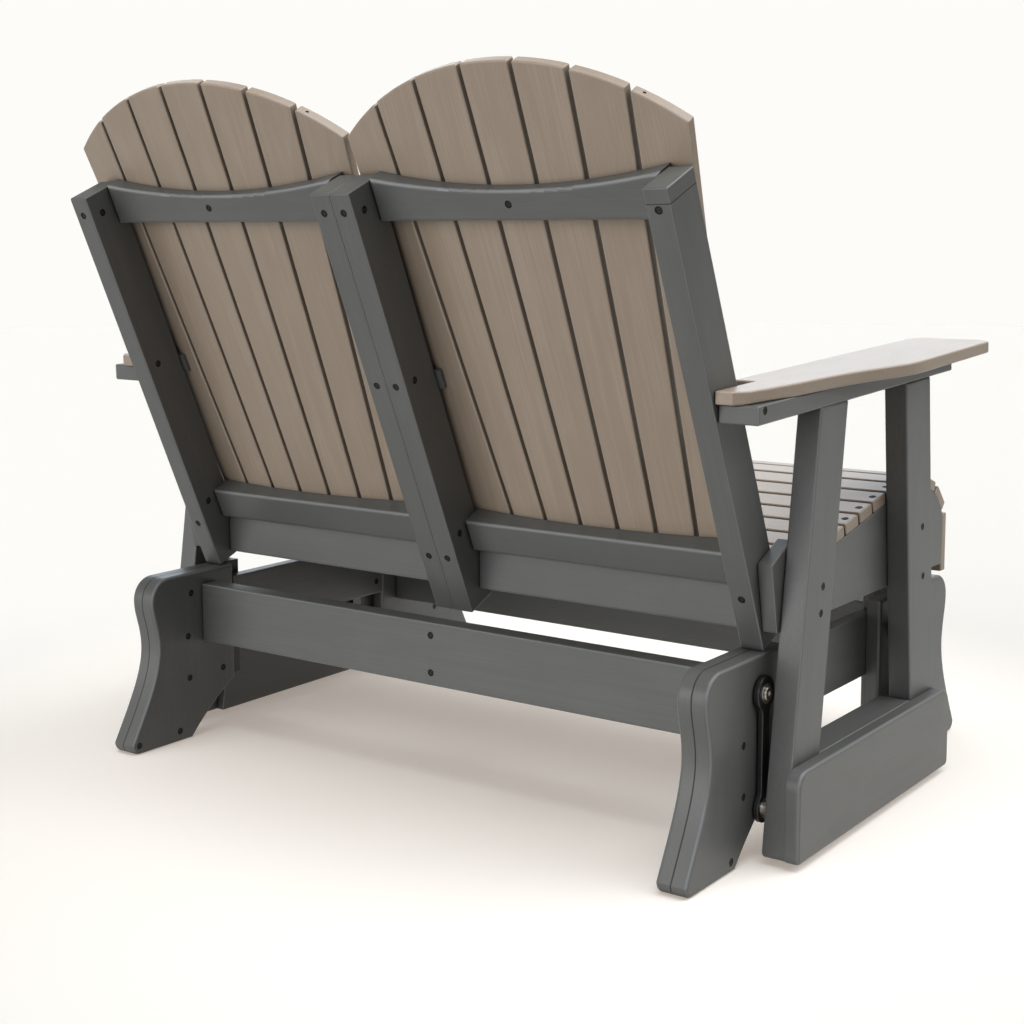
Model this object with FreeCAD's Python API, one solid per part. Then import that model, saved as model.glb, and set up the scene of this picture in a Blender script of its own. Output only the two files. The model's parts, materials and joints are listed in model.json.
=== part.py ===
import FreeCAD, Part
import math
import os

V = FreeCAD.Vector
os.makedirs("parts", exist_ok=True)

# Two-seat garden glider. X runs across the seat, +Y to the rear, +Z up.
# Sizes are given from the floor and from the middle between the swing pivots.

# board stock
board = 38.0
layer = 25.0
stringer_thick = 24.0
skirt_thick = 22.0
slat_thick = 19.0
ease = 3.0
face_round = 6.0
seam_round = 1.0

# widths across the seat
half_span = 572.0
link_gap = 20.0
stringer_out = half_span + stringer_thick
post_out = stringer_out + board
skirt_out = post_out + skirt_thick
leg_out = stringer_out - link_gap
leg_mid = leg_out - layer
leg_in = leg_mid - layer
bay_out = half_span - board
bay_in = board

# swing links
pivot_y = 254.0
pivot_high = 246.0
link_length = 171.0
pivot_low = pivot_high - link_length
link_head = 26.0
link_tail = 22.0
link_waist = 11.0
link_blend = 16.0
link_thick = 9.0
link_off = 1.5
bearing_radius = 15.0
bolt_radius = 5.0
bolt_clear = 0.05
head_radius = 11.0
head_thick = 3.5
key_radius = 4.0
head_clear = 1.0
side_clear = 0.5
washer_radius = 12.0
bolt_stop = 4.0

# base
leg_top = 302.0
lobe_y = 413.0
lobe_round = 40.0
waist_y = 399.0
waist_z = 184.0
foot_y = 465.0
foot_round = 18.0
toe_y = 322.0
arch_y = 268.0
arch_z = 50.0
leg_end = 213.0
leg_end_z = 88.0
leg_lap = 38.0
front_extra = 58.0
rail_y = 256.0
rail_top = 278.0
rail_tall = 105.0
front_rail_tall = 126.0
cleat_half = 42.0
leg_screw_long = 40.0

# back
back_y = 528.5
back_z = 963.9
lean = 23.76
post_depth = 75.0
post_drop = 724.0
centre_drop = 740.0
post_chamfer = 18.0
cap_drop = 22.0
cap_line = 1.2
end_hole = 2.5
end_hole_deep = 6.0
rail_set = post_depth - 25.0
lower_set = post_depth - 33.0
crown_low = -67.0
crown_end = 2.0
crown_dip = -20.0
lower_top = -588.0
lower_low = -645.0
slat_low = -640.0
slat_centre = half_span / 2 + 9.0
slat_shift = 15.0
slat_set = post_depth - 4.0
slat_sag = 12.0
slat_half = 3
fan_u = -580.0
fan_narrow = 0.832
fan_pitch = fan_narrow * half_span / (2 * slat_half + 1)
fan_grow = 0.0255
slat_gap = 7.0
inner_flare = 0.037
arch_top = 160.0
arch_rise = 105.0
arch_low = arch_top - arch_rise
spacer_u = -345.0
spacer_tall = 32.0
spacer_lap = 14.0
spacer_out = 10.0
lower_screw = -615.0
middle_screw = -320.0
crown_screw = -41.0

# seat
seat_y = 170.0
seat_z = 409.3
seat_pitch = 53.0
seat_gap = 6.0
seat_slopes = [11.4] * 6 + [9.0, 4.0, -4.0, -20.0, -46.0]
front_low = 319.0
stringer_low = 333.0
ear_low_y = 244.0
ear_y = 264.0
ear_z = 436.0
ear_top_y = 200.0
ear_top_z = 464.0
apron_y = 213.0
apron_thick = 25.0
apron_low = 325.0

# arm frames
foot_clear = 10.0
foot_gap = 4.0
foot_top = 146.0
foot_reach = 286.0
foot_corner = 28.0
foot_bend = 10.0
rear_edge = 286.0
rear_slope = -0.145
rear_depth = 91.0
front_edge = -182.0
front_slope = 0.0935
front_depth = 98.0
arm_z = 711.0
arm_tilt = 2.3
cleat_tall = 27.0
cleat_rear = 388.0
cleat_front = -310.0
arm_rear = 398.0
arm_front = -380.0
arm_notch = 278.0
arm_inner = half_span - 34.0
arm_over = 54.0
arm_wide = post_out + arm_over
arm_wide_y = -50.0
arm_nose = post_out + 46.0
arm_tail = post_out - 16.0
arm_chamfer = 18.0
arm_round = 32.0

# screws
screw_head = 6.0
screw_head_thick = 3.0
screw_sink = 1.2
screw_shank = 2.0

sin_lean = math.sin(math.radians(lean))
cos_lean = math.cos(math.radians(lean))
tan_tilt = math.tan(math.radians(arm_tilt))
cos_tilt = math.cos(math.radians(arm_tilt))
pieces = {}
screws = {"base_screws": [], "frame_screws": [], "slat_screws": []}


def side(y, z):
    return V(0, y, z)


def plan(x, y):
    return V(x, y, 0)


def face_on(x, u):
    return V(x, 0, u)


def outline(view, start, *moves):
    # one point is a straight run, two are an arc through the first, more are a smooth curve
    here = view(*start)
    edges = []
    for move in moves:
        points = [view(*p) for p in move]
        if len(points) == 1:
            edges.append(Part.makeLine(here, points[0]))
        elif len(points) == 2:
            edges.append(Part.Arc(here, points[0], points[1]).toShape())
        else:
            lead = edges[-1].tangentAt(edges[-1].LastParameter)
            curve = Part.BSplineCurve()
            curve.interpolate(Points=[here] + points, InitialTangent=lead,
                              FinalTangent=(points[-1] - points[-2]).normalize())
            edges.append(curve.toShape())
        here = points[-1]
    return Part.Face(Part.Wire(edges))


def polygon(view, points):
    return outline(view, points[0], *[[p] for p in points[1:] + points[:1]])


def across(face, x0, x1):
    # a side outline made into a board between two widths
    shape = face.copy()
    shape.translate(V(x0, 0, 0))
    return shape.extrude(V(x1 - x0, 0, 0))


def eased(shape, radius=ease):
    return shape.makeFillet(radius, shape.Edges)


def rounded(shape, radius, axis, value):
    # round the edges that lie in one plane across an axis
    flat = [e for e in shape.Edges if all(abs(getattr(v, axis) - value) < 0.01 for v in e.Vertexes)]
    return shape.makeFillet(radius, flat)


def plank(x0, x1, y0, y1, z0, z1):
    return eased(Part.makeBox(x1 - x0, y1 - y0, z1 - z0, V(x0, y0, z0)))


def rod(radius, x0, x1, y, z):
    return Part.makeCylinder(radius, abs(x1 - x0), V(min(x0, x1), y, z), V(1, 0, 0))


def other_side(shape):
    return shape.mirror(V(0, 0, 0), V(1, 0, 0))


def add(name, *shapes):
    pieces.setdefault(name, []).extend(s for shape in shapes for s in shape.Solids)


def add_both(name, shape):
    # the sitter faces -Y, so their left side is on +X
    add(name + "_left", shape)
    add(name + "_right", other_side(shape))


def screw(group, at, into, length):
    into = V(into).normalize()
    seat = at + into * screw_sink
    head = Part.makeCylinder(screw_head, screw_head_thick, seat, into)
    shank = Part.makeCylinder(screw_shank, length - screw_sink, seat, into)
    body = head.fuse(shank).removeSplitter()
    mouth = Part.makeCylinder(screw_head, screw_sink + 2, at - into * 2, into)
    screws[group].append((body, body.fuse(mouth).removeSplitter()))


def screw_both(group, at, into, length):
    screw(group, at, into, length)
    screw(group, V(-at.x, at.y, at.z), V(-into.x, into.y, into.z), length)


# back frame: x across, u up along the lean, n forward from the posts' rear faces
def lean_back(shape):
    shape = shape.copy()
    shape.rotate(V(0, 0, 0), V(1, 0, 0), -lean)
    shape.translate(V(0, back_y, back_z))
    return shape


def at_back(x, u, n):
    return V(x, back_y + sin_lean * u - cos_lean * n, back_z + cos_lean * u + sin_lean * n)


def back_box(x0, x1, u0, u1, n0, n1):
    return Part.makeBox(x1 - x0, n1 - n0, u1 - u0, V(x0, -n1, u0))


def tilt_arm(shape):
    shape = shape.copy()
    shape.rotate(V(0, 0, 0), V(1, 0, 0), -arm_tilt)
    shape.translate(V(0, 0, arm_z))
    return shape


# legs: two layers, the outer one laps the side rail
def leg_face(end, extra):
    bend = foot_round * (1 - math.sqrt(0.5))
    lobe_bend = lobe_round * (1 - math.sqrt(0.5))
    lobe_z = leg_top - lobe_round
    shin = (foot_y + waist_y) / 2
    step = [[(end, leg_end_z)]] if end < leg_end else []
    return outline(
        side, (end, leg_top), [(lobe_y - lobe_round + extra, leg_top)],
        [(lobe_y - lobe_bend + extra, leg_top - lobe_bend), (lobe_y + extra, lobe_z)],
        [((lobe_y + waist_y) / 2 + extra, (lobe_z + waist_z) / 2), (waist_y + extra, waist_z),
         (shin - 8 + extra, (foot_round + waist_z) / 2 - 8), (foot_y + extra, foot_round)],
        [(foot_y - bend + extra, bend), (foot_y - foot_round + extra, 0)],
        [(toe_y + extra, 0)], [(arch_y + extra / 2, arch_z), (leg_end, leg_end_z)],
        *step, [(end, leg_top)])


inner_screws = [(lobe_y - 94, leg_top - 37), (waist_y - 70, waist_z + 4), (waist_y - 72, leg_end_z + 23),
                (toe_y + 32, foot_round + 1), (foot_y - 15, foot_round - 2)]
outer_screws = [(waist_y - 96, waist_z - 6), (waist_y - 98, leg_end_z + 14), (toe_y + 14, foot_round - 2)]
lap_screws = [(leg_end + 31, leg_end_z + 25), (leg_end - leg_lap / 2, rail_top - 0.24 * rail_tall),
              (leg_end - leg_lap / 2, rail_top - 0.76 * rail_tall)]
for name, turn, extra in (("rear_leg", 1, 0.0), ("front_leg", -1, front_extra)):
    for end, face in ((leg_end, leg_in), (leg_end - leg_lap, leg_out)):
        shape = rounded(across(leg_face(end, extra), face, leg_mid), face_round, "X", face)
        shape = rounded(shape, seam_round, "X", leg_mid)
        if turn < 0:
            shape = shape.mirror(V(0, 0, 0), V(0, 1, 0))
        add(name + "_left", shape)
        add(name + "_right", other_side(shape))
    for spots, move in ((inner_screws, extra), (lap_screws, 0.0)):
        for y, z in spots:
            screw_both("base_screws", V(leg_in, turn * (y + move), z), V(1, 0, 0), leg_screw_long)
    for y, z in outer_screws:
        screw_both("base_screws", V(leg_out, turn * (y + extra), z), V(-1, 0, 0), leg_screw_long)

rail_low = rail_top - rail_tall
front_rail_low = rail_top - front_rail_tall
add_both("base_side_rail", plank(leg_in, leg_mid, -leg_end, leg_end, rail_low, rail_top))
add("base_rear_rail", plank(-leg_in, leg_in, rail_y, rail_y + board, rail_low, rail_top))
add("base_front_rail", plank(-leg_in, leg_in, -rail_y - board, -rail_y, front_rail_low, rail_top))
cleat_z = (rail_low + rail_top) / 2
add("base_rear_cleat", plank(-cleat_half, cleat_half, rail_y - layer, rail_y,
                             cleat_z - cleat_half, cleat_z + cleat_half))
for spot in (0.74, -0.74):
    at = V(0, rail_y + board, cleat_z + spot * cleat_half)
    screw("base_screws", at, V(0, -1, 0), board + 0.6 * layer)

# links with a bearing at each end; the lower bolt head is sunk in the link's inner face
link_in = leg_out + link_off
link_far = link_in + link_thick
sink = head_thick + 2 * side_clear


def link_neck(radius):
    # where a round end of the link runs into its waist: on the end, midway and on the waist
    reach = radius + link_blend
    middle = link_waist + link_blend
    drop = math.sqrt(reach ** 2 - middle ** 2)
    turn = (math.atan2(drop, -middle) + math.pi) / 2
    return [(middle * radius / reach, drop * radius / reach),
            (middle + link_blend * math.cos(turn), drop - link_blend * math.sin(turn)),
            (link_waist, drop)]


for end, turn in (("rear", 1), ("front", -1)):
    y = turn * pivot_y
    (a, b), (c, d), (e, f) = [(w, pivot_high - v) for w, v in link_neck(link_head)]
    (g, h), (j, k), (m, n) = [(w, pivot_low + v) for w, v in link_neck(link_tail)]
    blank = outline(
        side, (y - a, b), [(y, pivot_high + link_head), (y + a, b)], [(y + c, d), (y + e, f)],
        [(y + m, n)], [(y + j, k), (y + g, h)], [(y, pivot_low - link_tail), (y - g, h)],
        [(y - j, k), (y - m, n)], [(y - e, f)], [(y - c, d), (y - a, b)])
    link = across(blank, link_in, link_far)
    for face in (link_in, link_far):
        link = rounded(link, 2.0, "X", face)
    link = link.cut([rod(bearing_radius, link_in, link_far, y, pivot_high),
                     rod(bearing_radius, link_in + sink, link_far, y, pivot_low),
                     rod(head_radius + head_clear, link_in, link_far, y, pivot_low)])
    add_both("link_" + end, link)
    bore = bolt_radius + bolt_clear
    for z, start in ((pivot_high, link_in), (pivot_low, link_in + sink)):
        ring = rod(bearing_radius, start, link_far, y, z).cut(rod(bore, start, link_far, y, z))
        add_both("link_bearings_" + end, ring)
    face = link_far + side_clear
    head = eased(rod(head_radius, face, face + head_thick, y, pivot_high), 1.0)
    turns = [math.radians(60 * k) for k in range(6)]
    hexagon = [(y + key_radius * math.sin(t), pivot_high + key_radius * math.cos(t)) for t in turns]
    key = across(polygon(side, hexagon), face + head_thick / 3, face + head_thick)
    shank = rod(bolt_radius, leg_in + bolt_stop, face + head_thick / 3, y, pivot_high)
    bolt = head.fuse(shank).removeSplitter().cut(key)
    washer = rod(washer_radius, leg_out, link_in - side_clear, y, pivot_high)
    washer = washer.cut(rod(bolt_radius, leg_out, link_in, y, pivot_high))
    add("upper_pivot_bolts", bolt, other_side(bolt))
    add("upper_pivot_washers", washer, other_side(washer))
    face = link_in + side_clear
    head = rod(head_radius, face, face + head_thick, y, pivot_low)
    shank = rod(bolt_radius, face, post_out - bolt_stop, y, pivot_low)
    bolt = head.fuse(shank).removeSplitter()
    washer = rod(washer_radius, link_far + side_clear, stringer_out, y, pivot_low)
    washer = washer.cut(rod(bolt_radius, link_far, stringer_out, y, pivot_low))
    add("lower_pivot_bolts", bolt, other_side(bolt))
    add("lower_pivot_washers", washer, other_side(washer))

# back posts
def back_post(x0, x1, drop):
    shape = back_box(x0, x1, -drop, 0, 0, post_depth)
    corner = Part.Face(Part.makePolygon([
        V(x0, -post_depth, -drop), V(x0, -post_depth, -drop + post_chamfer),
        V(x0, -post_depth + post_chamfer, -drop), V(x0, -post_depth, -drop)]))
    return lean_back(eased(shape.cut(corner.extrude(V(x1 - x0, 0, 0)))))


add_both("outer_back_post", back_post(bay_out, half_span, post_drop))
add_both("centre_back_post", back_post(0, board, centre_drop))

# one post has a fine line cut round it under its top end
line = back_box(-half_span, -bay_out, -cap_drop - cap_line, -cap_drop, 0, post_depth)
line = line.cut(back_box(cap_line - half_span, -bay_out - cap_line, -cap_drop - cap_line, -cap_drop,
                         cap_line, post_depth - cap_line))
pieces["outer_back_post_right"] = pieces["outer_back_post_right"][0].cut(lean_back(line)).Solids
rear_spots = (crown_screw + 10, lower_screw - 20)
for x, spots in ((bay_out + board / 2, rear_spots), (board / 2, rear_spots + (middle_screw,))):
    for u in spots:
        screw_both("frame_screws", at_back(x, u, 0), V(0, -cos_lean, sin_lean), 0.8 * post_depth)
for wall, into in ((bay_out, 1), (bay_in, -1)):
    for u in (crown_screw + 5, middle_screw, lower_screw + 15):
        screw_both("frame_screws", at_back(wall, u, rail_set / 2), V(into, 0, 0), 0.8 * board)

# back slats lie on the facets of a shallow hollow cone, so they fan out and curve round the sitter
fan_apex = fan_u - fan_pitch / fan_grow


def fan(k, u, centre):
    # point on the line k slat widths from the middle, at height u
    grow = (u - fan_apex) / (fan_u - fan_apex)
    edge = slat_half + 0.5
    hollow = slat_sag * (k * k - 0.25) / (edge * edge - 0.25)
    return V(centre + k * fan_pitch * grow, -slat_set - hollow * grow, u)


def along(i, u, centre, x):
    # point of slat i's rear face at height u and width x
    a, b = fan(i - 0.5, u, centre), fan(i + 0.5, u, centre)
    return a + (b - a) * ((x - a.x) / (b.x - a.x))


def reach(i, u, centre):
    # the two edges of slat i at height u; the edge next to the centre posts stands more upright
    edges = []
    for s in (-1, 1):
        wider = inner_flare * (arch_low - u) if i == s * slat_half and s * centre < 0 else 0.0
        edges.append(fan(i + s / 2, u, centre).x + s * (wider - slat_gap / 2))
    return edges


def facet(i, u0, u1, centre, extra, thick):
    # board on slat i's facet, wider than the slat by the extra given for each edge
    corners = []
    for u in (u0, u1):
        a, b = reach(i, u, centre)
        corners += [along(i, u, centre, a - extra[0]), along(i, u, centre, b + extra[1])]
    p, q, r, t = corners
    normal = (q - p).cross(r - p).normalize()
    if normal.y > 0:
        normal = -normal
    return Part.Face(Part.makePolygon([p, q, t, r, p])).extrude(normal * thick), normal


def behind_slats(shape, centre):
    # shape the front of a rail to the slats that rest on it
    low, high = slat_low - board, arch_top + board
    sheets = []
    for i in range(-slat_half, slat_half + 1):
        extra = [half_span if i == s * slat_half else slat_gap / 2 for s in (-1, 1)]
        sheets.append(facet(i, low, high, centre, extra, 2 * deep)[0])
    return shape.cut(sheets)


def drill_end(i, centre, normal):
    # small hole in the arched top end of a slat, square to the arch
    turn = math.asin(0.8 * arch_half / arch_radius)
    out = V(-math.sin(turn), 0, math.cos(turn))
    top = V(centre, 0, arch_top - arch_radius) + out * arch_radius
    top = along(i, top.z, centre, top.x) + normal * (slat_thick / 2)
    return Part.makeCylinder(end_hole, 2 * end_hole_deep, top - out * end_hole_deep, out)


deep = slat_set + 4 * slat_sag
arch_half = reach(slat_half, arch_low, 0.0)[1]
arch_radius = (arch_half ** 2 + arch_rise ** 2) / (2 * arch_rise)
arch_wide = arch_half + board
shoulder = arch_top - arch_radius + math.sqrt(arch_radius ** 2 - arch_wide ** 2)
mid_x = (bay_in + bay_out) / 2
for name, turn in (("left", 1), ("right", -1)):
    centre = turn * slat_centre + slat_shift
    bay = sorted((turn * bay_in, turn * bay_out))
    ends = (centre - arch_wide, centre + arch_wide)
    under = slat_low - board
    dome = outline(
        face_on, (ends[0], under), [(ends[1], under)], [(ends[1], shoulder)],
        [(centre, arch_top), (ends[0], shoulder)], [(ends[0], under)])
    dome = dome.extrude(V(0, -2 * deep, 0))
    for i in range(-slat_half, slat_half + 1):
        slat, normal = facet(i, slat_low, arch_top + board, centre, (0, 0), slat_thick)
        slat = eased(slat.common(dome))
        if i == -slat_half:
            slat = slat.cut(drill_end(i, centre, normal))
        add("back_slats_%d" % (i + slat_half + 1), lean_back(slat))
        inward = lean_back(Part.Vertex(-normal)).Point - V(0, back_y, back_z)
        for u in (lower_screw, crown_screw):
            if u == crown_screw and i == 0:
                continue
            a, b = reach(i, u, centre)
            spot = (max(a, bay[0]) + min(b, bay[1])) / 2
            spot = along(i, u, centre, spot) + normal * slat_thick
            screw("slat_screws", at_back(spot.x, spot.z, -spot.y), inward, slat_thick + 16)
    crown = outline(face_on, (bay[0], crown_low), [(bay[1], crown_low)], [(bay[1], crown_end)],
                    [(turn * mid_x, crown_dip), (bay[0], crown_end)], [(bay[0], crown_low)])
    crown.translate(V(0, -rail_set, 0))
    crown = rounded(crown.extrude(V(0, -deep, 0)), face_round, "Y", -rail_set)
    add("crown_rail_" + name, lean_back(behind_slats(crown, centre)))
    lower = back_box(*bay, lower_low, lower_top, lower_set, lower_set + deep)
    lower = rounded(lower, face_round, "Y", -lower_set)
    add("lower_back_rail_" + name, lean_back(behind_slats(lower, centre)))
    at = at_back(centre, crown_screw, rail_set)
    screw("frame_screws", at, V(0, -cos_lean, sin_lean), slat_set - rail_set + slat_thick / 2)
    for wall, way in ((bay[0], -1), (bay[1], 1)):
        edge = reach(way * slat_half, spacer_u, centre)[(way + 1) // 2]
        tip = way * min(way * wall - spacer_out, way * edge - spacer_lap)
        ends = sorted((wall + way * spacer_lap, tip))
        block = back_box(*ends, spacer_u - spacer_tall / 2, spacer_u + spacer_tall / 2,
                         post_depth, post_depth + deep)
        add("slat_spacers", lean_back(behind_slats(block, centre)))

# seat line: one straight facet for each slat, from the back to the front edge
path = [(seat_y, seat_z)]
for slope in seat_slopes:
    y, z = path[-1]
    turn = math.radians(slope)
    path.append((y - seat_pitch * math.cos(turn), z + seat_pitch * math.sin(turn)))
nose_y, nose_z = path[-1]
stringer = polygon(side, path + [(nose_y, stringer_low), (ear_low_y, stringer_low), (ear_y, ear_z),
                                 (ear_top_y, ear_top_z)])
add_both("side_stringer", eased(across(stringer, half_span, stringer_out), 2.0))
inner_end = apron_y - apron_thick
rise = math.tan(math.radians(seat_slopes[0]))
centre = polygon(side, path + [(nose_y, stringer_low), (inner_end, stringer_low),
                               (inner_end, seat_z - (inner_end - seat_y) * rise)])
add_both("centre_stringer", eased(across(centre, bay_in, bay_in + stringer_thick), 2.0))

for i, (start, stop) in enumerate(zip(path + [path[-1]], path[1:] + [(nose_y, front_low)])):
    a, b = V(0, *start), V(0, *stop)
    run = (b - a).normalize()
    up = V(0, run.z, -run.y)
    a = a + run * (seat_gap / 2)
    last = i == len(seat_slopes)
    b = b if last else b - run * (seat_gap / 2)
    quad = polygon(side, [(p.y, p.z) for p in (a, b, b + up * slat_thick, a + up * slat_thick)])
    slat = eased(across(quad, -stringer_out, stringer_out))
    add("front_apron" if last else "seat_slats", slat)
    middle = (a + b) / 2 + up * slat_thick
    for x in (bay_in + stringer_thick / 2, half_span + stringer_thick / 2):
        screw_both("slat_screws", middle + V(x, 0, 0), -up, slat_thick + 18)

# rear aprons, bevelled to the underside of the lower back rails
def under_rail(y):
    n = (back_y + sin_lean * lower_low - y) / cos_lean
    return back_z + cos_lean * lower_low + sin_lean * n


apron = polygon(side, [(apron_y, apron_low), (apron_y, under_rail(apron_y)),
                       (inner_end, under_rail(inner_end)), (inner_end, apron_low)])
add_both("rear_apron", eased(across(apron, bay_in, bay_out)))

# arm frames: two leaning posts, a skirt board outside them and a filler between their feet
under_cleat = arm_z - (slat_thick + cleat_tall) / cos_tilt


def leaning(edge, slope, z):
    return edge + slope * z


def top_of(edge, slope):
    z = (under_cleat - edge * tan_tilt) / (1 + slope * tan_tilt)
    return (leaning(edge, slope, z), z)


for name, edge, slope, depth, spots in (("rear", rear_edge, rear_slope, rear_depth, (23, 62)),
                                        ("front", front_edge, front_slope, front_depth, (13, 96))):
    far = edge - depth
    post = polygon(side, [(leaning(edge, slope, foot_clear), foot_clear), top_of(edge, slope),
                          top_of(far, slope), (leaning(far, slope, foot_clear), foot_clear)])
    post = across(post, stringer_out, post_out)
    heel = V(0, leaning(max(edge, far, key=abs), slope, foot_clear), foot_clear)
    heel = [e for e in post.Edges if all(V(0, v.Y, v.Z).isEqual(heel, 0.01) for v in e.Vertexes)]
    post = post.makeFillet(foot_bend, heel)
    for face in (stringer_out, post_out):
        post = rounded(post, ease, "X", face)
    add_both(name + "_arm_post", post)
    for spot in spots:
        z = stringer_low + spot
        at = V(post_out, leaning(edge - 0.6 * depth, slope, z), z)
        screw_both("frame_screws", at, V(-1, 0, 0), board + 0.75 * stringer_thick)
filler_rear = rear_edge - rear_depth
filler = polygon(side, [(leaning(front_edge, front_slope, z), z) for z in (foot_clear, foot_top)]
                 + [(leaning(filler_rear, rear_slope, z), z) for z in (foot_top, foot_clear)])
add_both("inner_foot_board", eased(across(filler, leg_out + foot_gap, post_out)))
bend = foot_corner * (1 - math.sqrt(0.5))
heel_bend = foot_bend * (1 - math.sqrt(0.5))
skirt = outline(
    side, (foot_bend - foot_reach, foot_clear), [(foot_reach - foot_bend, foot_clear)],
    [(foot_reach - heel_bend, foot_clear + heel_bend), (foot_reach, foot_clear + foot_bend)],
    [(foot_reach, foot_top - foot_corner)],
    [(foot_reach - bend, foot_top - bend), (foot_reach - foot_corner, foot_top)],
    [(foot_corner - foot_reach, foot_top)],
    [(bend - foot_reach, foot_top - bend), (-foot_reach, foot_top - foot_corner)],
    [(-foot_reach, foot_clear + foot_bend)],
    [(heel_bend - foot_reach, foot_clear + heel_bend), (foot_bend - foot_reach, foot_clear)])
skirt = rounded(across(skirt, post_out, skirt_out), face_round, "X", skirt_out)
add_both("outer_foot_board", rounded(skirt, seam_round, "X", post_out))

cleat = plank(half_span, post_out, cleat_front, cleat_rear, -slat_thick - cleat_tall, -slat_thick)
add_both("arm_cleat", tilt_arm(cleat))
cleat_screw = cleat_rear - 20
at = V(post_out, cleat_screw, arm_z - cleat_screw * tan_tilt - slat_thick - 0.3 * cleat_tall)
screw_both("frame_screws", at, V(-1, 0, 0), board + 2 * stringer_thick)
arm_bend = arm_round * (1 - math.sqrt(0.5))
arm = outline(
    plan, (half_span, arm_rear), [(half_span, arm_notch)], [(arm_inner, arm_notch)],
    [(arm_inner, arm_front + arm_round)],
    [(arm_inner + arm_bend, arm_front + arm_bend), (arm_inner + arm_round, arm_front)],
    [(arm_nose - arm_round, arm_front)],
    [(arm_nose - arm_bend, arm_front + arm_bend), (arm_nose, arm_front + arm_round)],
    [(arm_wide, arm_wide_y)],
    [(post_out + 0.83 * arm_over, 19), (post_out + arm_over / 3, 131), (post_out + 2, 268),
     (arm_tail, arm_rear - arm_chamfer)],
    [(arm_tail - arm_chamfer, arm_rear)], [(half_span, arm_rear)])
arm = arm.extrude(V(0, 0, -slat_thick))
add_both("arm", tilt_arm(eased(arm)))

# every screw gets its hole in the boards it passes through
for group, pairs in screws.items():
    for name, solids in pieces.items():
        for i, solid in enumerate(solids):
            box = solid.BoundBox
            near = [hole for body, hole in pairs if box.intersect(hole.BoundBox)]
            if near:
                solids[i] = solid.cut(near).Solids[0]
for group, pairs in screws.items():
    add(group, *[body for body, hole in pairs])
for name, holder in (("upper_pivot_bolts", "_leg"), ("lower_pivot_bolts", "_arm_post")):
    for piece in [p for p in pieces if holder in p]:
        for i, solid in enumerate(pieces[piece]):
            near = [b for b in pieces[name] if b.BoundBox.intersect(solid.BoundBox)]
            if near:
                pieces[piece][i] = solid.cut(near).Solids[0]

# bring the middle of the outline over the origin and write the pieces
whole = Part.makeCompound([s for solids in pieces.values() for s in solids]).optimalBoundingBox(False)
shift = V(0, -(whole.YMin + whole.YMax) / 2, 0)
for name, solids in pieces.items():
    shape = solids[0] if len(solids) == 1 else Part.makeCompound(solids)
    shape.translate(shift)
    shape.exportStep("parts/%s.step" % name)
print("pieces", len(pieces), "solids", sum(len(s) for s in pieces.values()))
print("box", whole.XMin, whole.XMax, whole.YMin, whole.YMax, whole.ZMin, whole.ZMax, "shift", shift.y)
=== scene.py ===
import json
import math

import bpy
from mathutils import Euler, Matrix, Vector


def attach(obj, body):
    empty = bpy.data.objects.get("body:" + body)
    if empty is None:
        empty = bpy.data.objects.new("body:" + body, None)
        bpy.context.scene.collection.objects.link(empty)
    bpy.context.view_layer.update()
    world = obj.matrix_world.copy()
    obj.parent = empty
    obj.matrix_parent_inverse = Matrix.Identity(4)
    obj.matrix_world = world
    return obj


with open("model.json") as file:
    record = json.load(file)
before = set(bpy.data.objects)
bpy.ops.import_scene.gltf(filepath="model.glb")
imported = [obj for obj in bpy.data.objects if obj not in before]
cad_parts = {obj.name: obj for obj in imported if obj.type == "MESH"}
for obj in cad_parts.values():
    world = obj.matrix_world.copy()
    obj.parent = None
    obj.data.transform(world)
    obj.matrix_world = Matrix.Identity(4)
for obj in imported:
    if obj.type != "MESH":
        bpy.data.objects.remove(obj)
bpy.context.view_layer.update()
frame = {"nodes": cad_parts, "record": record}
nodes = frame["nodes"]
slotOf = {part["node"]: part["material_slot"] for part in frame["record"]["subparts"]}
mm = 0.001
noiseLow, noiseHigh = 0.3, 0.7  # most of a noise's values lie between these
print("frame", len(nodes), "nodes")


def linear(code):
    # sRGB hex to the linear colour that a shader takes
    parts = [int(code[i:i + 2], 16) / 255 for i in (1, 3, 5)]
    levels = [c / 12.92 if c <= 0.04045 else ((c + 0.055) / 1.055) ** 2.4 for c in parts]
    return (*levels, 1.0)


def addNode(tree, kind, settings=None, links=None):
    # a setting is a property, a socket's value or the stops of a colour ramp
    node = tree.nodes.new(kind)
    for name, value in (settings or {}).items():
        if name == "stops":
            while len(node.color_ramp.elements) < len(value):
                node.color_ramp.elements.new(1.0)
            for stop, (place, code) in zip(node.color_ramp.elements, value):
                stop.position, stop.color = place, linear(code)
        elif isinstance(name, str) and hasattr(node, name):
            setattr(node, name, value)
        else:
            node.inputs[name].default_value = value
    for name, socket in (links or {}).items():
        tree.links.new(socket, node.inputs[name])
    return node


def newMaterial(name):
    material = bpy.data.materials.new(name)
    material.use_nodes = True
    material.node_tree.nodes.clear()
    return material, material.node_tree


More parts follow.
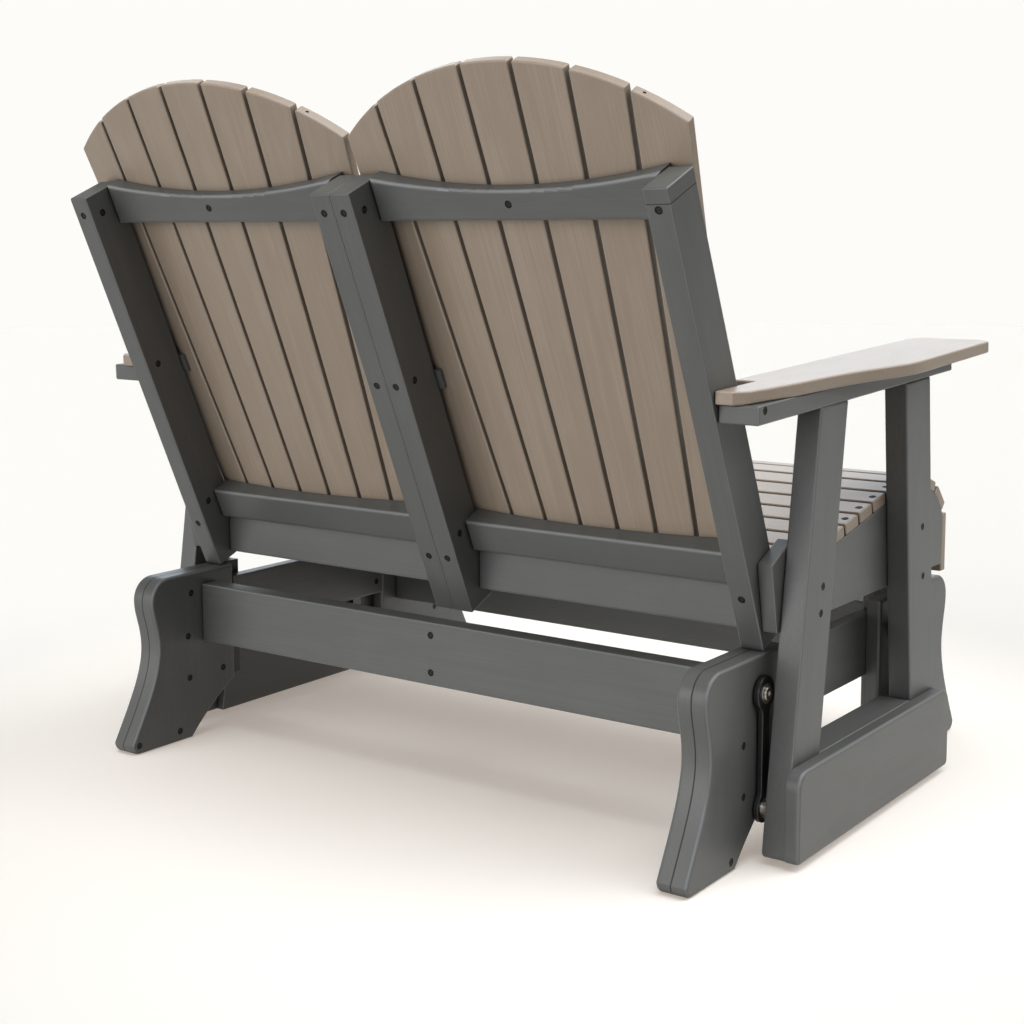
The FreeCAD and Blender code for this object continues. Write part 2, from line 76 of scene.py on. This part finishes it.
# boards: patterns in mm, down the board first; the drawn lines are finer than the 1.3 mm that shows
lumber = {
    "patterns": {"streak": ((220, 1.3, 1.3), 5.0), "mottle": ((120, 45, 45), 2.0),
                 "skin": ((3.0, 0.8, 0.8), 2.0)},  # each with its detail
    "mottleShare": 0.1, "boardShare": 0.15, "tonePlaces": (0.5, 1.0),
    "streakBump": {"Strength": 0.6, "Distance": 0.10 * mm},
    "skinBump": {"Strength": 0.5, "Distance": 0.04 * mm},
    "rough": (0.34, 0.48), "ior": 1.54,
    # painted highlight on the rounded edges: how far the surface has turned, or for the crown rails
    # how deep it lies
    "edgePlaces": (0.3, 0.55, 0.8, 0.96), "edgeShare": 0.5,
    "crownPlaces": (0.05, 0.25, 0.55, 1.0), "crownShare": 0.85, "crownHighlightDepth": 5.0,
    # painted shade in seams and gaps: how closed in it starts and ends; and the dark joint line in
    # a leg, in mm from its middle
    "shadeReach": 16.0, "shadeSamples": 10, "shadeFrom": 0.7, "shadeTo": 0.2, "jointAndShadeShare": 0.85,
    "legLine": (0.5, 1.9),
    "grey_lumber": {"board": ("#5f6160", "#6c6e6c"), "edge": "#95989a", "seam": "#161615"},
    "taupe_lumber": {"board": ("#a69685", "#b8a898"), "edge": "#cdc1b6", "seam": "#2c231c"},
}
lean = math.radians(23.76)  # how far the backs lean
rear = (0, math.cos(lean), -math.sin(lean))
# for each lie of the boards: the way the streaks run, and a flat face whose rounded edges get a
# painted highlight
grains = {
    "across": {"along": (1, 0, 0), "face": (0, 1, 0), "boards": (
        "rear_apron", "front_apron", "slat_spacers", "base_rear", "base_front")},
    "acrossLeaning": {"along": (1, 0, 0), "face": rear, "boards": ("lower_back_rail",)},
    "acrossCrown": {"along": (1, 0, 0), "face": rear, "boards": ("crown_rail",)},
    "acrossSeat": {"along": (1, 0, 0), "face": (1, 0, 0), "boards": ("seat_slats",)},
    "deep": {"along": (0, 1, 0), "face": (1, 0, 0), "boards": (
        "arm_cleat", "side_stringer", "centre_stringer", "base_side_rail", "outer_foot_board",
        "inner_foot_board")},
    "deepFlat": {"along": (0, 1, 0), "face": (0, 0, 1), "boards": ("arm_left", "arm_right")},
    "uprightLeg": {"along": (0, 0, 1), "face": (1, 0, 0), "boards": ("front_leg", "rear_leg")},
    "upright": {"along": (0, 0, 1), "face": (1, 0, 0), "boards": (
        "front_arm_post", "rear_arm_post")},
    "leaning": {"along": (0, math.sin(lean), math.cos(lean)), "face": (1, 0, 0), "boards": (
        "back_slats", "outer_back_post", "centre_back_post")},
}


def makeLumber(slot, grain, mesh):
    # extruded polyethylene lumber: one colour all through with drawn streaks and a satin skin,
    # so the boards look waxy; a painted highlight on the rounded edges, painted shade in seams and
    # gaps, and a dark line at the joint of a leg's two boards
    tones = lumber[slot]
    material, tree = newMaterial("extruded_polyethylene_" + slot.split("_")[0] + "_" + grain)
    turn = Vector(grains[grain]["along"]).to_track_quat("X", "Z").to_euler()
    place = addNode(tree, "ShaderNodeTexCoord").outputs["Object"]
    marks = {}
    for mark, (size, detail) in lumber["patterns"].items():
        spot = addNode(tree, "ShaderNodeMapping", {
            "vector_type": "TEXTURE", "Rotation": turn, "Scale": [s * mm for s in size]}, {
            "Vector": place})
        marks[mark] = addNode(tree, "ShaderNodeTexNoise", {"Scale": 1.0, "Detail": detail}, {
            "Vector": spot.outputs[0]}).outputs["Fac"]
    # each board a little lighter or darker than the next
    board = addNode(tree, "ShaderNodeNewGeometry").outputs["Random Per Island"]
    soft = addNode(tree, "ShaderNodeMapRange", {
        "From Min": noiseLow, "From Max": noiseHigh, "To Min": -lumber["mottleShare"],
        "To Max": lumber["mottleShare"]}, {"Value": marks["mottle"]})
    tone = addNode(tree, "ShaderNodeMath", {"operation": "ADD"}, {
        0: marks["streak"], 1: soft.outputs[0]})
    tone = addNode(tree, "ShaderNodeMath", {"operation": "MULTIPLY_ADD", 1: lumber["boardShare"]}, {
        0: board, 2: tone.outputs[0]})
    colour = addNode(tree, "ShaderNodeValToRGB", {
        "stops": list(zip(lumber["tonePlaces"], tones["board"]))}, {
        "Fac": tone.outputs[0]}).outputs["Color"]
    # painted highlight on rounded edges: where the surface turns from the flat face to the sides
    face = Vector(grains[grain]["face"])
    kind = "crown" if grain == "acrossCrown" else "edge"
    if kind == "crown":
        # the hollow edge turns unevenly, so here the painted highlight follows the depth below the
        # flat face
        flat = max(corner.co.dot(face) for corner in mesh.vertices)
        reach = addNode(tree, "ShaderNodeVectorMath", {"operation": "DOT_PRODUCT", 1: face}, {
            0: place})
        facing = addNode(tree, "ShaderNodeMapRange", {
            "From Min": flat, "From Max": flat - lumber["crownHighlightDepth"] * mm}, {
            "Value": reach.outputs["Value"]})
    else:
        normal = addNode(tree, "ShaderNodeNewGeometry").outputs["Normal"]
        turned = addNode(tree, "ShaderNodeVectorMath", {"operation": "DOT_PRODUCT", 1: face}, {
            0: normal})
        facing = addNode(tree, "ShaderNodeMath", {"operation": "ABSOLUTE"}, {
            0: turned.outputs["Value"]})
    levels = ("#000000", "#ffffff", "#ffffff", "#000000")
    edge = addNode(tree, "ShaderNodeValToRGB", {
        "stops": list(zip(lumber[kind + "Places"], levels))}, {"Fac": facing.outputs[0]})
    share = addNode(tree, "ShaderNodeMath", {"operation": "MULTIPLY", 1: lumber[kind + "Share"]}, {
        0: edge.outputs["Color"]})
    colour = addNode(tree, "ShaderNodeMix", {"data_type": "RGBA", 7: linear(tones["edge"])}, {
        0: share.outputs[0], 6: colour}).outputs[2]
    # seams and gaps: shade where another board stands close
    closed = addNode(tree, "ShaderNodeAmbientOcclusion", {
        "samples": lumber["shadeSamples"], "Distance": lumber["shadeReach"] * mm})
    seam = addNode(tree, "ShaderNodeMapRange", {
        "From Min": lumber["shadeFrom"], "From Max": lumber["shadeTo"], "To Min": 0.0,
        "To Max": lumber["jointAndShadeShare"]}, {"Value": closed.outputs["AO"]})
    if grain == "uprightLeg":
        # the line between a leg's two boards
        sides = [abs(corner.co.x) for corner in mesh.vertices]
        middle = (min(sides) + max(sides)) / 2
        across = addNode(tree, "ShaderNodeSeparateXYZ", links={0: place})
        across = addNode(tree, "ShaderNodeMath", {"operation": "ABSOLUTE"}, {
            0: across.outputs["X"]})
        away = addNode(tree, "ShaderNodeMath", {"operation": "SUBTRACT", 1: middle}, {
            0: across.outputs[0]})
        away = addNode(tree, "ShaderNodeMath", {"operation": "ABSOLUTE"}, {0: away.outputs[0]})
        line = addNode(tree, "ShaderNodeMapRange", {
            "From Min": lumber["legLine"][0] * mm, "From Max": lumber["legLine"][1] * mm,
            "To Min": lumber["jointAndShadeShare"], "To Max": 0.0}, {"Value": away.outputs[0]})
        seam = addNode(tree, "ShaderNodeMath", {"operation": "MAXIMUM"}, {
            0: seam.outputs[0], 1: line.outputs[0]})
    # the painted shade of seams and gaps and the leg's dark joint line darken the colour
    colour = addNode(tree, "ShaderNodeMix", {"data_type": "RGBA", 7: linear(tones["seam"])}, {
        0: seam.outputs[0], 6: colour}).outputs[2]
    low = addNode(tree, "ShaderNodeBump", lumber["streakBump"], {"Height": marks["streak"]})
    high = addNode(tree, "ShaderNodeBump", lumber["skinBump"], {
        "Height": marks["skin"], "Normal": low.outputs[0]})
    rough = addNode(tree, "ShaderNodeMapRange", {
        "From Min": noiseLow, "From Max": noiseHigh, "To Min": lumber["rough"][0],
        "To Max": lumber["rough"][1]}, {"Value": marks["streak"]})
    shader = addNode(tree, "ShaderNodeBsdfPrincipled", {"IOR": lumber["ior"]}, {
        "Base Color": colour, "Normal": high.outputs[0], "Roughness": rough.outputs[0]})
    addNode(tree, "ShaderNodeOutputMaterial", links={"Surface": shader.outputs[0]})
    return material


# swing links: grit in mm
swing = {"grit": 0.6, "detail": 3.0, "tones": ((0.35, "#070708"), (0.65, "#0f0f11")),
         "bump": {"Strength": 0.4, "Distance": 0.05 * mm}, "rough": (0.34, 0.46), "ior": 1.53}


def makeNylon():
    # black moulded nylon: a fine grit from the mould that softens its gloss
    material, tree = newMaterial("moulded_nylon_black")
    place = addNode(tree, "ShaderNodeTexCoord").outputs["Object"]
    grit = addNode(tree, "ShaderNodeTexNoise", {
        "Scale": 1 / (swing["grit"] * mm), "Detail": swing["detail"]}, {
        "Vector": place}).outputs["Fac"]
    colour = addNode(tree, "ShaderNodeValToRGB", {"stops": swing["tones"]}, {"Fac": grit})
    rough = addNode(tree, "ShaderNodeMapRange", {
        "From Min": noiseLow, "From Max": noiseHigh, "To Min": swing["rough"][0],
        "To Max": swing["rough"][1]}, {"Value": grit})
    bump = addNode(tree, "ShaderNodeBump", swing["bump"], {"Height": grit})
    shader = addNode(tree, "ShaderNodeBsdfPrincipled", {"IOR": swing["ior"]}, {
        "Base Color": colour.outputs["Color"], "Roughness": rough.outputs[0],
        "Normal": bump.outputs[0]})
    addNode(tree, "ShaderNodeOutputMaterial", links={"Surface": shader.outputs[0]})
    return material


# bearings, bolts and the pale rims of the screws, a painted glint on their heads: brush marks in mm
metals = {
    "brush": (4, 0.25, 0.25), "detail": 3.0, "bump": {"Strength": 0.3, "Distance": 0.02 * mm},
    "turned_steel": {"tones": ("#b9b4ac", "#d8d3cb"), "rough": (0.25, 0.38)},
    "plated_steel": {"tones": ("#a9a49c", "#cfcac2"), "rough": (0.23, 0.36)},
    "glint_steel": {"tones": ("#2a2a29", "#4a4a48"), "rough": (0.35, 0.48)},
}


def makeSteel(name):
    # turned steel: fine brush marks that draw its highlights out
    metal = metals[name]
    material, tree = newMaterial(name)
    place = addNode(tree, "ShaderNodeTexCoord").outputs["Object"]
    spot = addNode(tree, "ShaderNodeMapping", {
        "vector_type": "TEXTURE", "Scale": [size * mm for size in metals["brush"]]}, {
        "Vector": place})
    brush = addNode(tree, "ShaderNodeTexNoise", {"Scale": 1.0, "Detail": metals["detail"]}, {
        "Vector": spot.outputs[0]}).outputs["Fac"]
    colour = addNode(tree, "ShaderNodeValToRGB", {
        "stops": list(zip((noiseLow, noiseHigh), metal["tones"]))}, {"Fac": brush})
    rough = addNode(tree, "ShaderNodeMapRange", {
        "From Min": noiseLow, "From Max": noiseHigh, "To Min": metal["rough"][0],
        "To Max": metal["rough"][1]}, {"Value": brush})
    bump = addNode(tree, "ShaderNodeBump", metals["bump"], {"Height": brush})
    shader = addNode(tree, "ShaderNodeBsdfPrincipled", {"Metallic": 1.0}, {
        "Base Color": colour.outputs["Color"], "Roughness": rough.outputs[0],
        "Normal": bump.outputs[0]})
    addNode(tree, "ShaderNodeOutputMaterial", links={"Surface": shader.outputs[0]})
    return material


# screws: worn spots in mm
coating = {"wear": 2.0, "detail": 3.0, "tones": ((0.4, "#050506"), (0.75, "#0e0e10")),
           "rough": (0.32, 0.5), "specular": 0.25}


def makeCoating():
    # black coated steel: a dull film, worn shinier in spots
    material, tree = newMaterial("coated_steel_black")
    place = addNode(tree, "ShaderNodeTexCoord").outputs["Object"]
    wear = addNode(tree, "ShaderNodeTexNoise", {
        "Scale": 1 / (coating["wear"] * mm), "Detail": coating["detail"]}, {
        "Vector": place}).outputs["Fac"]
    colour = addNode(tree, "ShaderNodeValToRGB", {"stops": coating["tones"]}, {"Fac": wear})
    rough = addNode(tree, "ShaderNodeMapRange", {
        "From Min": noiseLow, "From Max": noiseHigh, "To Min": coating["rough"][0],
        "To Max": coating["rough"][1]}, {"Value": wear})
    shader = addNode(tree, "ShaderNodeBsdfPrincipled", {
        "Specular IOR Level": coating["specular"]}, {
        "Base Color": colour.outputs["Color"], "Roughness": rough.outputs[0]})
    addNode(tree, "ShaderNodeOutputMaterial", links={"Surface": shader.outputs[0]})
    return material


plain = {"black_link": makeNylon(), "dark_screw": makeCoating(),
         "bearing_steel": makeSteel("turned_steel"), "bolt_steel": makeSteel("plated_steel")}
boards = {}
for name, part in nodes.items():
    slot = slotOf[name]
    material = plain.get(slot)
    if material is None:
        grain = next(g for g, kind in grains.items() if name.startswith(kind["boards"]))
        if (slot, grain) not in boards:
            boards[slot, grain] = makeLumber(slot, grain, part.data)
        material = boards[slot, grain]
    part.data.materials.clear()
    part.data.materials.append(material)
print("materials", len(boards) + len(plain))


# screw rims: radius and height in mm, and how wide a flat face is a head
rim = {"profile": ((3.1, -0.1), (3.1, 0.5), (2.7, 0.8), (1.9, 0.8), (1.4, 0.5), (1.4, -0.1)),
       "sides": 20, "smallest": 4.5, "flatness": 0.999,
       "screws": {"base_screws": "base", "frame_screws": "seat", "slat_screws": "seat"}}


def headsOf(mesh):
    # centre and outward direction of each head: a flat face with all corners far from its middle
    first = list(range(len(mesh.vertices)))

    def root(i):
        while first[i] != i:
            first[i] = first[first[i]]
            i = first[i]
        return i

    for face in mesh.polygons:
        for corner in face.vertices[1:]:
            first[root(corner)] = root(face.vertices[0])
    faces = {}
    for face in mesh.polygons:
        faces.setdefault(root(face.vertices[0]), []).append(face)
    for group in faces.values():
        normal = sum((face.normal for face in group), Vector()) / len(group)
        points = [mesh.vertices[i].co for i in {i for face in group for i in face.vertices}]
        middle = sum(points, Vector()) / len(points)
        nearest = min((point - middle).length for point in points)
        if normal.length > rim["flatness"] and nearest > rim["smallest"] * mm:
            yield middle, normal


def makeRims(node, body, material):
    # a pale rim round the drive hole in each sunk head, a painted glint
    places, faces = [], []
    rings, sides = len(rim["profile"]), rim["sides"]
    for middle, normal in headsOf(nodes[node].data):
        turn = normal.to_track_quat("Z", "Y")
        start = len(places)
        for k in range(sides):
            angle = 2 * math.pi * k / sides
            for radius, height in rim["profile"]:
                point = Vector((radius * math.cos(angle), radius * math.sin(angle), height)) * mm
                places.append(middle + turn @ point)
            here, after = start + k * rings, start + (k + 1) % sides * rings
            for j in range(rings):
                up = (j + 1) % rings
                faces.append((here + j, after + j, after + up, here + up))
    mesh = bpy.data.meshes.new(node + "_rims")
    mesh.from_pydata(places, [], faces)
    mesh.materials.append(material)
    mesh.shade_smooth()
    rims = bpy.data.objects.new(node + "_rims", mesh)
    bpy.context.scene.collection.objects.link(rims)
    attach(rims, body)
    return len(places) // rings // sides


glintSteel = makeSteel("glint_steel")
print("screw rims", [makeRims(node, body, glintSteel) for node, body in rim["screws"].items()])


# floor and backdrop: the edge of the floor's glow, a painted pool of light, and the reach in metres
studio = {"floor": "#ececea", "floorRough": 0.9, "poolGlow": "#958c84", "farGlow": "#4a4943",
          "glowEdge": (0.7, 1.4), "backdrop": "#fdfcf8", "reach": 14.0,
          "floorSides": 96, "backdropSides": 64, "backdropRings": 32}


def makeStage():
    # matt pale floor with a glow of its own, a painted pool of light that lifts the shadow near the
    # object and falls off to meet the backdrop
    floorMaterial, tree = newMaterial("studio_floor")
    place = addNode(tree, "ShaderNodeTexCoord").outputs["Object"]
    away = addNode(tree, "ShaderNodeVectorMath", {"operation": "LENGTH"}, {0: place})
    away = addNode(tree, "ShaderNodeMapRange", {
        "interpolation_type": "SMOOTHSTEP", "From Min": studio["glowEdge"][0],
        "From Max": studio["glowEdge"][1]}, {"Value": away.outputs["Value"]})
    glow = addNode(tree, "ShaderNodeValToRGB", {
        "stops": ((0.0, studio["poolGlow"]), (1.0, studio["farGlow"]))}, {"Fac": away.outputs[0]})
    shader = addNode(tree, "ShaderNodeBsdfPrincipled", {
        "Base Color": linear(studio["floor"]), "Roughness": studio["floorRough"],
        "Specular IOR Level": 0.0, "Emission Strength": 1.0}, {
        "Emission Color": glow.outputs["Color"]})
    addNode(tree, "ShaderNodeOutputMaterial", links={"Surface": shader.outputs[0]})
    bpy.ops.mesh.primitive_circle_add(
        vertices=studio["floorSides"], radius=studio["reach"], fill_type="NGON")
    floor = bpy.context.object
    floor.name = "studio_floor"
    floor.data.materials.append(floorMaterial)
    floor.visible_diffuse = False
    # bright backdrop all round that only the camera sees
    backMaterial, tree = newMaterial("studio_backdrop")
    glow = addNode(tree, "ShaderNodeEmission", {
        "Color": linear(studio["backdrop"]), "Strength": 1.0})
    addNode(tree, "ShaderNodeOutputMaterial", links={"Surface": glow.outputs[0]})
    bpy.ops.mesh.primitive_uv_sphere_add(
        segments=studio["backdropSides"], ring_count=studio["backdropRings"],
        radius=studio["reach"])
    backdrop = bpy.context.object
    backdrop.name = "studio_backdrop"
    backdrop.data.materials.append(backMaterial)
    backdrop.visible_diffuse = False
    backdrop.visible_glossy = False
    backdrop.visible_shadow = False


# lights: soft suns from above, the right and behind the camera, spread in degrees
air = {"colour": "#fffaf4", "power": 0.22}
suns = {
    "topLight": {"from": (-0.1, 0.1, 1.0), "power": 1.5, "spread": 40, "colour": "#ffffff"},
    "rightLight": {"from": (-1.0, -0.8, 1.3), "power": 1.3, "spread": 50, "colour": "#ffffff"},
    "cameraLight": {"from": (0.35, 1.0, 0.1), "power": 1.95, "spread": 60, "colour": "#ffffff"},
}
# panels that only show in the boards' gloss: one on flat tops, one on rounded edges
sheens = {
    "flatSheen": {"place": (1.9, -2.9, 2.4), "aim": (0.0, 0.0, 0.5), "size": (4.0, 3.2),
                  "power": 96.0, "colour": "#e8f4ff"},
    "edgeSheen": {"place": (-2.3, 3.2, 1.9), "aim": (0.0, 0.0, 0.5), "size": (1.4, 1.4),
                  "power": 45.0, "colour": "#e8f4ff"},
}


def makeLight():
    world = bpy.data.worlds.new("studio")
    world.use_nodes = True
    background = world.node_tree.nodes["Background"]
    background.inputs["Color"].default_value = linear(air["colour"])
    background.inputs["Strength"].default_value = air["power"]
    bpy.context.scene.world = world
    for name, sun in suns.items():
        light = bpy.data.lights.new(name, "SUN")
        light.energy = sun["power"]
        light.angle = math.radians(sun["spread"])
        light.color = linear(sun["colour"])[:3]
        lamp = bpy.data.objects.new(name, light)
        lamp.rotation_euler = Vector(sun["from"]).to_track_quat("Z", "Y").to_euler()
        bpy.context.scene.collection.objects.link(lamp)
    for name, sheen in sheens.items():
        light = bpy.data.lights.new(name, "AREA")
        light.shape = "RECTANGLE"
        light.size, light.size_y = sheen["size"]
        light.energy = sheen["power"]
        light.color = linear(sheen["colour"])[:3]
        lamp = bpy.data.objects.new(name, light)
        lamp.location = sheen["place"]
        aim = Vector(sheen["place"]) - Vector(sheen["aim"])
        lamp.rotation_euler = aim.to_track_quat("Z", "Y").to_euler()
        lamp.visible_diffuse = False
        lamp.visible_camera = False
        bpy.context.scene.collection.objects.link(lamp)


# camera at the photograph's place, its frame moved as the photograph's is
view = {"place": (-1.6604, 2.3905, 0.9094), "turn": (83.3212, 0.0718, 215.5831), "sensor": 36,
        "lens": 59.04, "shift": (0.00255, -0.08219), "farthest": 100}


def makeCamera():
    camera = bpy.data.cameras.new("camera")
    camera.sensor_width = view["sensor"]
    camera.lens = view["lens"]
    camera.shift_x, camera.shift_y = view["shift"]
    camera.clip_end = view["farthest"]
    stand = bpy.data.objects.new("camera", camera)
    stand.location = view["place"]
    stand.rotation_euler = Euler([math.radians(a) for a in view["turn"]])
    bpy.context.scene.collection.objects.link(stand)
    bpy.context.scene.camera = stand


makeStage()
makeLight()
makeCamera()
bpy.context.scene.view_settings.view_transform = "Standard"
print("studio set")
